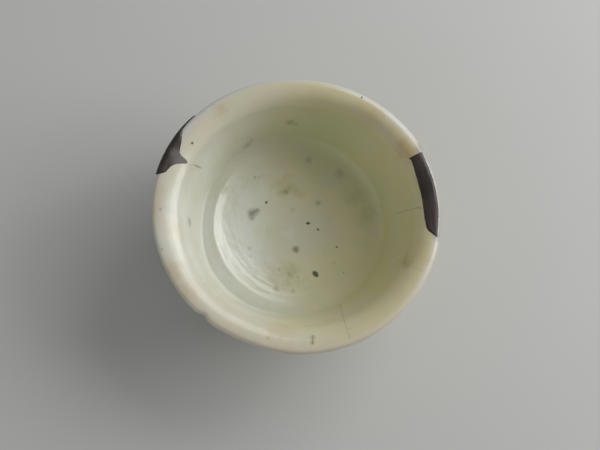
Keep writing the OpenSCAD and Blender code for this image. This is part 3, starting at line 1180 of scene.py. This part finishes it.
def clay_material():
    """Bare buff clay, with a flame-coloured line under the glaze and dirt where the foot stands."""
    s = Shader("bare_clay")
    z = s.split(s.place)[2]
    grain = s.noise(0.5, 6, rough=0.7)
    colour = s.mix(s.ramp(s.noise(4, 4, seed=1), 0.3, 0.7), BUFF, DARK_BUFF)
    drift = s.times(s.noise(3, 2, seed=2), FLAME_DRIFT)
    flame = s.ramp(s.math("ADD", z, drift), *FLAME_RISE)
    colour = s.mix(s.times(flame, FLAME_SHARE), colour, FLAME)
    dirt = s.times(s.ramp(z, *DIRT_FALL, 1, 0), s.ramp(s.noise(2, 4, seed=3), 0.35, 0.7))
    colour = s.mix(s.times(dirt, DIRT_SHARE), colour, DIRT)
    colour = s.patches(colour, DARK_GRAIN, size=0.6, seed=4, start=0.68, full=0.75, strength=0.7, detail=2)
    s.set(Base_Color=colour, Roughness=s.ramp(grain, 0.3, 0.7, to_low=0.72, to_high=0.92))
    s.set(Normal=s.bump(grain, depth=0.06))
    return s.material


def lacquer_material():
    """Dark brown lacquer with brush unevenness, and painted reflections a little lighter in places."""
    s = Shader("dark_lacquer")
    x, y, z = s.split(s.place)
    turn = s.times(s.math("ARCTAN2", y, x), STROKES_ROUND)
    outward = s.times(s.vector("LENGTH", s.in_plan(s.place)), STROKES_ACROSS)
    strokes = s.join(turn, outward, s.times(z, STROKES_ACROSS))
    brushed = s.noise(1, 3, place=strokes)
    worn = s.noise(3.5, 4, seed=2)
    colour = s.mix(s.ramp(worn, 0.35, 0.7), BROWN, WORN_BROWN)
    colour = s.mix(s.ramp(brushed, 0.55, 0.8, to_high=0.4), colour, STROKE_BROWN)
    colour = s.patches(colour, DUST, size=0.35, seed=3, start=0.66, full=0.74, strength=0.35, detail=2)
    # Painted reflections of the windows on the lacquer
    colour = stained(s, colour, LACQUER_REFLECTIONS, s.place)
    s.set(Base_Color=colour, Roughness=s.ramp(brushed, 0.3, 0.7, to_low=0.4, to_high=0.52), IOR=GLASS_IOR)
    s.set(Normal=s.bump(brushed, depth=0.03, under=s.bump(worn, depth=0.05)))
    return s.material


def filler_material():
    """Dull dark paste under the lacquer."""
    s = Shader("lacquer_paste")
    grain = s.noise(0.6, 5)
    s.set(Base_Color=s.mix(grain, srgb(52, 44, 38), srgb(84, 70, 58)), Roughness=0.85)
    s.set(Normal=s.bump(grain, depth=0.05))
    return s.material


def floor_material():
    """The plain pale floor."""
    s = Shader("pale_floor")
    s.set(Base_Color=s.mix(s.noise(30, 2), srgb(206, 206, 205), srgb(209, 209, 208)), Roughness=0.9)
    return s.material


def dress(piece, material, node):
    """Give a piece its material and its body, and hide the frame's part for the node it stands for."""
    piece.data.materials.clear()
    piece.data.materials.append(material)
    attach(piece, "root")
    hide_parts(node)


def pieces():
    """Every piece of the cup, with the breaks cut out of the glaze and the clay."""
    glaze, clay, lacquer, filler = glaze_material(), clay_material(), lacquer_material(), filler_material()
    body, coat, under = clay_body(), glaze_coat(), foot_glaze()
    edge_lacquer, edge_filler, edge_cutter = edge_repair()
    band_lacquer, band_filler, band_cutter = band_repair()
    cutters = (edge_cutter, band_cutter)
    for cutter in cutters:
        clean_triangles(cutter.data)
    for piece in (body, coat):
        cut(piece, cutters)
    for cutter in cutters:
        bpy.data.objects.remove(cutter)
    dress(body, clay, "clay_body")
    dress(coat, glaze, "glaze_coat")
    dress(under, glaze, "foot_glaze")
    dress(edge_filler, filler, "edge_repair_filler")
    dress(edge_lacquer, lacquer, "edge_repair_lacquer")
    dress(band_filler, filler, "band_repair_filler")
    dress(band_lacquer, lacquer, "band_repair_lacquer")


def floor():
    """The floor that the cup stands on."""
    half = FLOOR_HALF
    corners = [(-half, -half, 0), (half, -half, 0), (half, half, 0), (-half, half, 0)]
    mesh = bpy.data.meshes.new("floor")
    mesh.from_pydata(corners, [], [(0, 1, 2, 3)])
    plane = add_object("floor", mesh)
    mesh.materials.append(floor_material())


def camera():
    """The camera at the photograph's viewing angle."""
    back = direction(CAMERA_TURN, CAMERA_RISE)
    right = Vector((0, 1, 0)).cross(back).normalized()
    up = back.cross(right)
    data = bpy.data.cameras.new("camera")
    data.lens = LENS
    data.sensor_width = SENSOR_W
    data.clip_start = CLIP_START
    data.shift_x = (IMAGE_W / 2 - AIM_X) / IMAGE_W
    data.shift_y = (AIM_Y - IMAGE_H / 2) / IMAGE_W
    place = Vector((0, 0, AIM_Z * MM)) + CAMERA_AWAY * MM * back
    eye = add_object("camera", data)
    eye.matrix_world = Matrix.Translation(place) @ Matrix((right, up, back)).transposed().to_4x4()
    bpy.context.scene.camera = eye


def area_light(name, turn, rise, size, watts, colour):
    """A soft rectangular light aimed at the cup from a direction."""
    data = bpy.data.lights.new(name, "AREA")
    data.shape = "RECTANGLE"
    data.size, data.size_y = size
    data.energy = watts
    data.color = colour
    back = direction(turn, rise)
    aim = back.to_track_quat("Z", "Y").to_matrix().to_4x4()
    lamp = add_object(name, data)
    lamp.matrix_world = Matrix.Translation(back * LIGHT_AWAY) @ aim


def light():
    """Two soft windows to the right, a weak fill from the left and even grey light all round."""
    area_light("low_window", turn=14, rise=28.5, size=WINDOW_SIZE, watts=1.6, colour=WINDOW_COLOUR)
    area_light("high_window", turn=47, rise=40, size=WINDOW_SIZE, watts=1.1, colour=WINDOW_COLOUR)
    area_light("fill", turn=222, rise=22, size=FILL_SIZE, watts=0.35, colour=FILL_COLOUR)
    world = bpy.data.worlds.new("studio")
    world.use_nodes = True
    background = world.node_tree.nodes["Background"]
    background.inputs["Color"].default_value = WORLD_COLOUR
    background.inputs["Strength"].default_value = 1
    bpy.context.scene.world = world


camera()
light()
floor()
pieces()
bpy.context.scene.view_settings.view_transform = "Standard"
